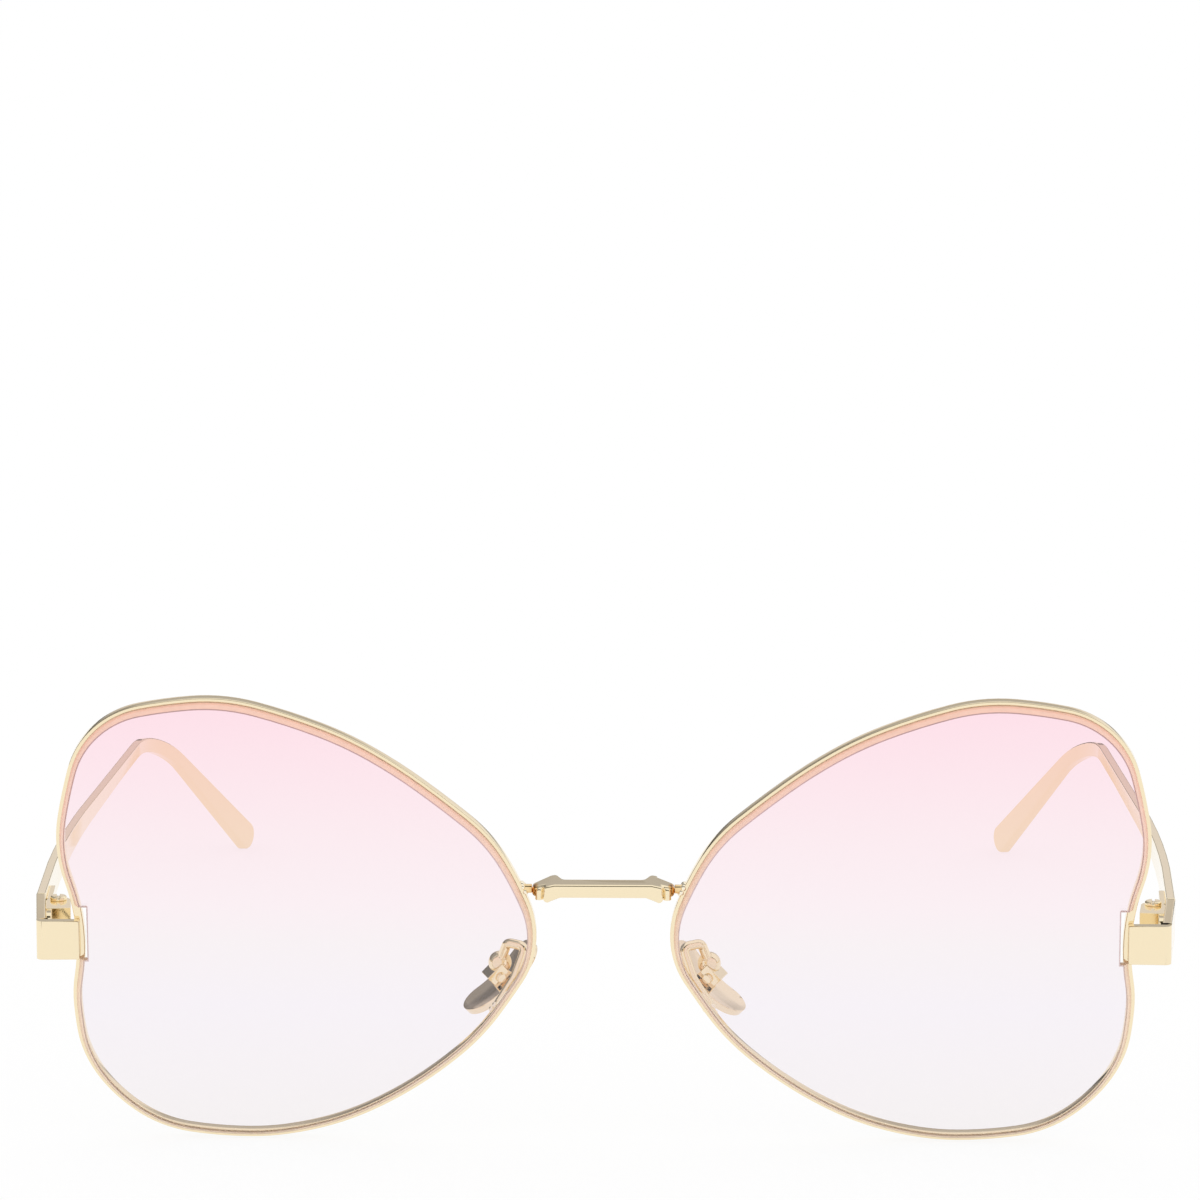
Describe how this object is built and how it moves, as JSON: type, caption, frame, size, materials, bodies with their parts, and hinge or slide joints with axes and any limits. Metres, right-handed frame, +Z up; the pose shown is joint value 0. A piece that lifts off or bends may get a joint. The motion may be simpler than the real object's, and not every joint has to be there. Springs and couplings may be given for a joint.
{
  "type": "butterfly sunglasses",
  "caption": "Sunglasses with flat tinted butterfly-shaped lenses on thin gold wire rims, a straight bridge bar, metal nose pads and slim folding metal temples.",
  "frame": {"origin": "centre of the bounding box at its base, on the surface that the open pair stands on", "axes": "+X to the right as seen from in front of the lenses, +Y from the lenses back along the temples, +Z up"},
  "size_m": [0.1428, 0.16, 0.0569],
  "materials": {
    "pale_gold": "polished pale gold plating",
    "pad_metal": "polished pale gold plating",
    "tinted_lens": "clear tinted plastic, pink at the top and fading to nearly clear at the bottom"
  },
  "bodies": {
    "front": {"bridge_bar": "pale_gold", "bridge_post_left": "pale_gold", "rim_left": "pale_gold", "lens_left": "tinted_lens", "end_piece_left": "pale_gold", "hinge_front_leaf_left": "pale_gold", "hinge_screw_left": "pale_gold", "pad_arm_left": "pale_gold", "pad_box_left": "pale_gold", "pad_screw_left": "pale_gold", "bridge_post_right": "pale_gold", "rim_right": "pale_gold", "lens_right": "tinted_lens", "end_piece_right": "pale_gold", "hinge_front_leaf_right": "pale_gold", "hinge_screw_right": "pale_gold", "pad_arm_right": "pale_gold", "pad_box_right": "pale_gold", "pad_screw_right": "pale_gold"},
    "temple_arm_left": {"temple_left": "pale_gold", "hinge_temple_leaf_left": "pale_gold"},
    "pad_left": {"nose_pad_left": "pad_metal"},
    "temple_arm_right": {"temple_right": "pale_gold", "hinge_temple_leaf_right": "pale_gold"},
    "pad_right": {"nose_pad_right": "pad_metal"}
  },
  "joints": [
    {"name": "temple_left_fold", "type": "hinge", "parent": "front", "child": "temple_arm_left", "pos_m": [-0.06794, -0.06465, 0.02616], "axis": [0, 0, -1], "range_deg": [0, 80]},
    {"name": "temple_right_fold", "type": "hinge", "parent": "front", "child": "temple_arm_right", "pos_m": [0.06794, -0.06465, 0.02616], "axis": [0, 0, 1], "range_deg": [0, 88]},
    {"name": "pad_left_rock", "type": "hinge", "parent": "front", "child": "pad_left", "pos_m": [-0.01323, -0.06701, 0.01941], "axis": [-0.315, 0.9481, 0.042], "range_deg": [-12, 12]},
    {"name": "pad_right_rock", "type": "hinge", "parent": "front", "child": "pad_right", "pos_m": [0.01323, -0.06701, 0.01941], "axis": [-0.315, -0.9481, -0.042], "range_deg": [-12, 12]}
  ]
}
